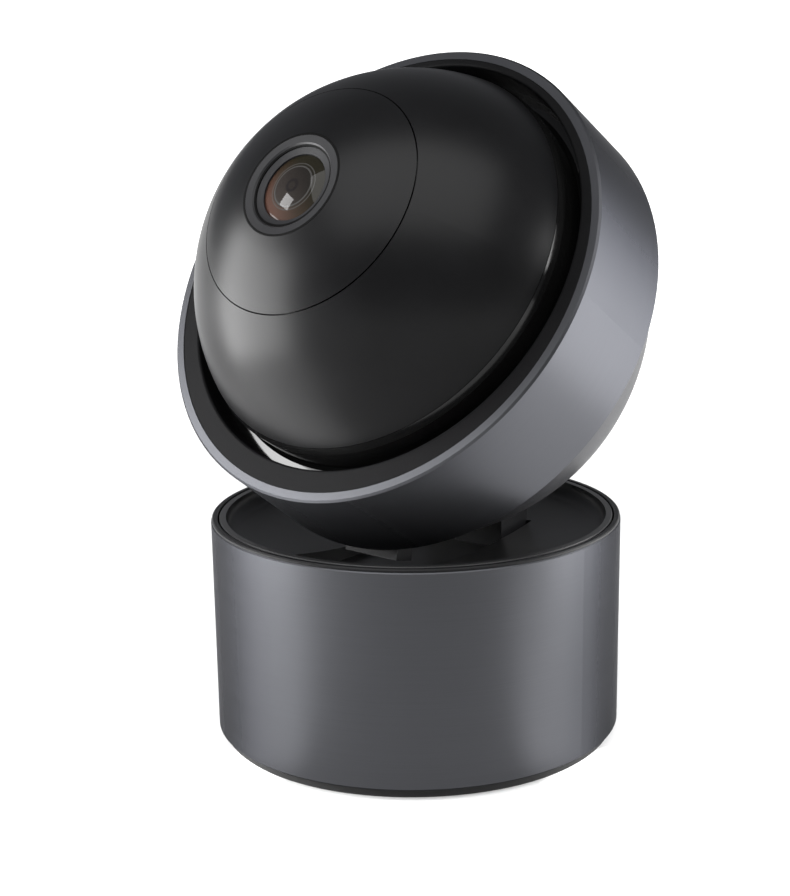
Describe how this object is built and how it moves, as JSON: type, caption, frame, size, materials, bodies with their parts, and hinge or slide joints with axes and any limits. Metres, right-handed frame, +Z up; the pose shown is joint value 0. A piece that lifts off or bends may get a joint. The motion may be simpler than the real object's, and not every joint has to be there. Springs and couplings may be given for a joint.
{
  "type": "security camera",
  "caption": "Pan-and-tilt indoor camera: drum base with a dished turntable carrying a round hooded head with a domed front and a central lens.",
  "frame": {"origin": "centre of the base's underside, where the rubber foot ring meets the table", "axes": "+Z up along the pan axis, the head faces -Y at rest, +X to the camera's left as it looks out"},
  "size_m": [0.0888, 0.0804, 0.1227],
  "materials": {
    "drum_metal": "satin anodised, gunmetal",
    "hood_metal": "satin anodised, gunmetal",
    "trim_plastic": "satin",
    "dish_plastic": "semi-gloss black",
    "neck_plastic": "satin dark grey",
    "bezel_plastic": "satin",
    "groove_plastic": "glossy black",
    "dome_plastic": "high-gloss smoked black",
    "lens_trim": "satin grey",
    "lens_glass": "coated glass",
    "inner_plastic": "moulded",
    "rear_plastic": "fine spark texture",
    "foot_rubber": "matte",
    "gear_plastic": "moulded acetal",
    "shaft_steel": "ground",
    "motor_steel": "zinc plated",
    "screw_steel": "black zinc",
    "brass": "machined",
    "board": "solder mask",
    "chip": "moulded epoxy",
    "connector_steel": "stamped",
    "cable": "polyimide film"
  },
  "bodies": {
    "base": {"base_drum": "drum_metal", "base_plate": "inner_plastic", "foot_ring": "foot_rubber", "tripod_insert": "brass", "bottom_screws": "screw_steel", "base_chassis": "inner_plastic", "main_board": "board", "board_chips": "chip", "usb_port": "connector_steel", "card_socket": "connector_steel", "speaker": "motor_steel", "reset_switch": "chip", "pan_motor": "motor_steel", "pan_bearing": "gear_plastic", "top_trim": "trim_plastic"},
    "reset_button": {"reset_button": "trim_plastic"},
    "turntable": {"pan_dish": "dish_plastic", "pan_hub": "inner_plastic", "hub_clip": "shaft_steel", "pan_gear": "gear_plastic", "neck": "neck_plastic", "neck_cover": "neck_plastic", "neck_screws": "screw_steel", "ribbon_cable": "cable", "tilt_shaft": "shaft_steel", "tilt_gear": "gear_plastic"},
    "pan_pinion": {"pan_pinion": "gear_plastic"},
    "tilt_pinion": {"tilt_pinion": "gear_plastic"},
    "head": {"hood": "hood_metal", "bezel": "bezel_plastic", "groove_ring": "groove_plastic", "dome_shell": "dome_plastic", "dome_cap": "dome_plastic", "lens_ring": "lens_trim", "lens_cone": "lens_trim", "lens_front": "lens_glass", "lens_stop": "lens_trim", "lens_barrel": "inner_plastic", "lens_rear": "lens_glass", "image_sensor": "chip", "sensor_board": "board", "lens_mount": "inner_plastic", "ir_board": "board", "ir_leds": "lens_glass", "head_frame": "inner_plastic", "tilt_bushings": "brass", "tilt_motor": "motor_steel", "rear_shell": "rear_plastic", "rear_screws": "screw_steel", "tilt_guide": "neck_plastic"}
  },
  "joints": [
    {"name": "pan", "type": "hinge", "parent": "base", "child": "turntable", "pos_m": [0, 0, 0.034], "axis": [0, 0, 1], "range_deg": [-170, 170]},
    {"name": "tilt", "type": "hinge", "parent": "turntable", "child": "head", "pos_m": [0, 0, 0.08166], "axis": [1, 0, 0], "range_deg": [-45, 26]},
    {"name": "pan_pinion_spin", "type": "hinge", "parent": "base", "child": "pan_pinion", "pos_m": [0.022, 0, 0.02515], "axis": [0, 0, 1], "range_deg": [-765, 765]},
    {"name": "tilt_pinion_spin", "type": "hinge", "parent": "head", "child": "tilt_pinion", "pos_m": [0.0103, 0.00681, 0.09154], "axis": [1, 0, 0], "range_deg": [-135, 78]},
    {"name": "reset_press", "type": "slide", "parent": "base", "child": "reset_button", "axis": [-0.4067, -0.9135, 0], "range_m": [0, 0.0006], "stiffness_N_per_m": 900, "springref_m": -0.0004}
  ],
  "couplings": [
    {"joint": "pan_pinion_spin", "follows": "pan", "ratio": -4.5},
    {"joint": "tilt_pinion_spin", "follows": "tilt", "ratio": 3}
  ]
}
